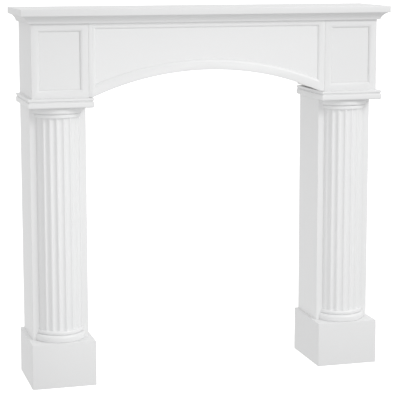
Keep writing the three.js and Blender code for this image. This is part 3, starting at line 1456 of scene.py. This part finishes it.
@dataclass
class ShelfBoard:
    """The board on top, with its front and end edges eased.

    Attributes:
        arris: Rounding of its edges.
    """

    arris: Arris = Arris(0.0016, 4)

    def build(self) -> None:
        """Models and dresses the board."""
        node = "shelf_board"
        extent = Extent.of(node)
        board = Workpiece.from_box("mantel_shelf", extent)
        board.ease(self.arris, lambda edge: not lies_at(edge, Way.BACK, extent))
        Dressing(Slot.BOARD, SHELF_ENAMEL_PAINTED_SHADE).put_on(board, node)


# Studio


@dataclass(frozen=True)
class SoftBox:
    """A large soft lamp.

    Attributes:
        name: Name of the lamp.
        place: Where it hangs.
        aim: The point that it faces.
        width: Its width.
        height: Its height.
        power: Its power, in watts.
    """

    name: str
    place: tuple[float, float, float]
    aim: tuple[float, float, float]
    width: float
    height: float
    power: float

    def hang(self) -> None:
        """Adds the lamp to the scene."""
        clear_bench()
        bpy.ops.object.light_add(type="AREA", location=self.place)
        lamp = bpy.context.active_object
        lamp.name = self.name
        lamp.data.shape = "RECTANGLE"
        lamp.data.size = self.width
        lamp.data.size_y = self.height
        lamp.data.energy = self.power
        lamp.visible_camera = False
        facing = Vector(self.aim) - Vector(self.place)
        lamp.rotation_euler = facing.to_track_quat("-Z", "Y").to_euler()


@dataclass
class Studio:
    """A pale floor, soft light all round, a key and a low fill, and the camera.

    Attributes:
        camera_place: Where the camera stands.
        camera_turn: How far it is turned to the right, in degrees.
        camera_dip: How far it looks down, in degrees.
        lens: Its focal length, in millimetres.
        sensor: Width of its sensor, in millimetres.
        shift: How far the picture's frame is moved, as shares of its width.
        sight: Distance to which the camera sees.
        floor_radius: Radius of the floor.
        floor_vertices: Corners round the floor.
        floor_colour: Colour of the floor.
        floor_roughness: Roughness of the floor.
        floor_gloss: How glossy the floor is.
        floor_glow: Brightness that the floor has of its own.
        air: Mean brightness of the air.
        air_lean: How much brighter the air is toward X, Y and Z.
        lamps: The lamps.
    """

    camera_place: tuple[float, float, float] = (-1.122, -3.975, 1.200)
    camera_turn: float = 16.20
    camera_dip: float = 8.42
    lens: float = 131.0
    sensor: float = 36.0
    shift: tuple[float, float] = (-0.03, -0.08)
    sight: float = 270.0
    floor_radius: float = 90.0
    floor_vertices: int = 96
    floor_colour: tuple[float, float, float, float] = (0.92, 0.92, 0.92, 1.0)
    floor_roughness: float = 0.9
    floor_gloss: float = 0.1
    floor_glow: float = 0.55
    air: float = 0.800
    air_lean: tuple[float, float, float] = (-0.022, 0.127, 0.078)
    lamps: tuple[SoftBox, ...] = (
        SoftBox("key_softbox", (2.2, -3.2, 3.0), (0.0, 0.0, 0.6), 1.2, 1.2, 61.0),
        SoftBox("opening_fill", (-0.2, -0.9, 0.5), (0.0, 0.0, 0.6), 0.5, 0.9, 1.05),
    )

    def set_up(self) -> None:
        """Adds the camera, the floor, the air and the lamps."""
        self._camera()
        self._floor()
        self._air()
        for lamp in self.lamps:
            lamp.hang()
        bpy.context.scene.view_settings.view_transform = "Standard"

    def _camera(self) -> None:
        """Adds the camera at the photograph's viewing angle."""
        clear_bench()
        bpy.ops.object.camera_add(location=self.camera_place)
        camera = bpy.context.active_object
        camera.name = "camera"
        tilt, turn = math.radians(90.0 - self.camera_dip), math.radians(-self.camera_turn)
        camera.rotation_euler = (tilt, 0.0, turn)
        camera.data.sensor_width = self.sensor
        camera.data.lens = self.lens
        camera.data.shift_x, camera.data.shift_y = self.shift
        camera.data.clip_end = self.sight
        camera.data.dof.use_dof = False
        bpy.context.scene.camera = camera

    def _floor(self) -> None:
        """Adds a wide pale floor, which glows a little and lights nothing else."""
        centre = Vector((0.0, 0.0, 0.0))
        floor = Workpiece.from_disc("floor", self.floor_radius, centre, self.floor_vertices)
        recipe = Recipe(bpy.data.materials.new("pale_floor"))
        shader = recipe.node(
            "ShaderNodeBsdfPrincipled",
            {},
            {
                "Base Color": self.floor_colour,
                "Roughness": self.floor_roughness,
                "Specular IOR Level": self.floor_gloss,
                "Emission Color": WHITE,
                "Emission Strength": self.floor_glow,
            },
        )
        recipe.node("ShaderNodeOutputMaterial", {}, {"Surface": shader.outputs["BSDF"]})
        floor.obj.data.materials.append(recipe.owner)
        floor.obj.visible_diffuse = False
        floor.obj.visible_glossy = False

    def _air(self) -> None:
        """Fills the air with light that comes from all round, and more of it from one way."""
        bpy.context.scene.world = bpy.data.worlds.new("studio_air")
        recipe = Recipe(bpy.context.scene.world)
        place = recipe.node("ShaderNodeTexCoord", {}, {})
        lean = recipe.node(
            "ShaderNodeVectorMath",
            {"operation": "DOT_PRODUCT"},
            {0: place.outputs["Generated"], 1: self.air_lean},
        )
        strength = self.air + Signal(recipe, lean.outputs["Value"])
        air = recipe.node("ShaderNodeBackground", {}, {"Color": WHITE, "Strength": strength})
        recipe.node("ShaderNodeOutputWorld", {}, {"Surface": air.outputs["Background"]})


def main() -> None:
    """Builds the mantelpiece from the floor up, and then the studio round it."""
    logging.basicConfig(level=logging.INFO, format="%(name)s: %(message)s")
    sub_assemblies = [
        LegBox(
            "plinth",
            ("plinth_front", "plinth_top", "plinth_outer", "plinth_inner"),
            Slot.BOARD,
            BOARD_ENAMEL,
            open_ways=(Way.DOWN,),
        ),
        LegBox(
            "pilaster",
            ("pilaster_front", "pilaster_outer", "pilaster_inner"),
            Slot.BOARD,
            PILASTER_ENAMEL_PAINTED_LIGHT,
            open_ways=(Way.DOWN, Way.UP),
        ),
        TurnedRings(
            "turned_base",
            ("column_base",),
            Slot.WOOD,
            TURNED_ENAMEL_PAINTED_LIGHT,
            wide_below=True,
            wide_height=0.020,
        ),
        FlutedShaft("fluted_shaft", ("column_shaft",), Slot.WOOD, TURNED_ENAMEL_PAINTED_LIGHT),
        TurnedRings(
            "turned_capital",
            ("column_capital",),
            Slot.WOOD,
            TURNED_ENAMEL_PAINTED_LIGHT,
            wide_below=False,
            wide_height=0.018,
            wide_shoulder=0.009,
            wide_foot=0.007,
            squareness=3.0,
        ),
        CapMoulding("moulded_cap", ("cap",), Slot.WOOD, MOULDING_ENAMEL),
        EndBlock(
            "end_block",
            ("block_front", "block_outer"),
            Slot.BOARD,
            BOARD_ENAMEL,
            open_ways=(Way.INWARD, Way.DOWN, Way.UP),
        ),
        InnerCheek("inner_cheek", ("block_inner",), Slot.BOARD, BOARD_ENAMEL),
        ArchedFrieze(),
        CrownMoulding(),
        ShelfBoard(),
    ]
    for sub_assembly in sub_assemblies:
        sub_assembly.build()
    Studio().set_up()


if __name__ == "__main__":
    main()
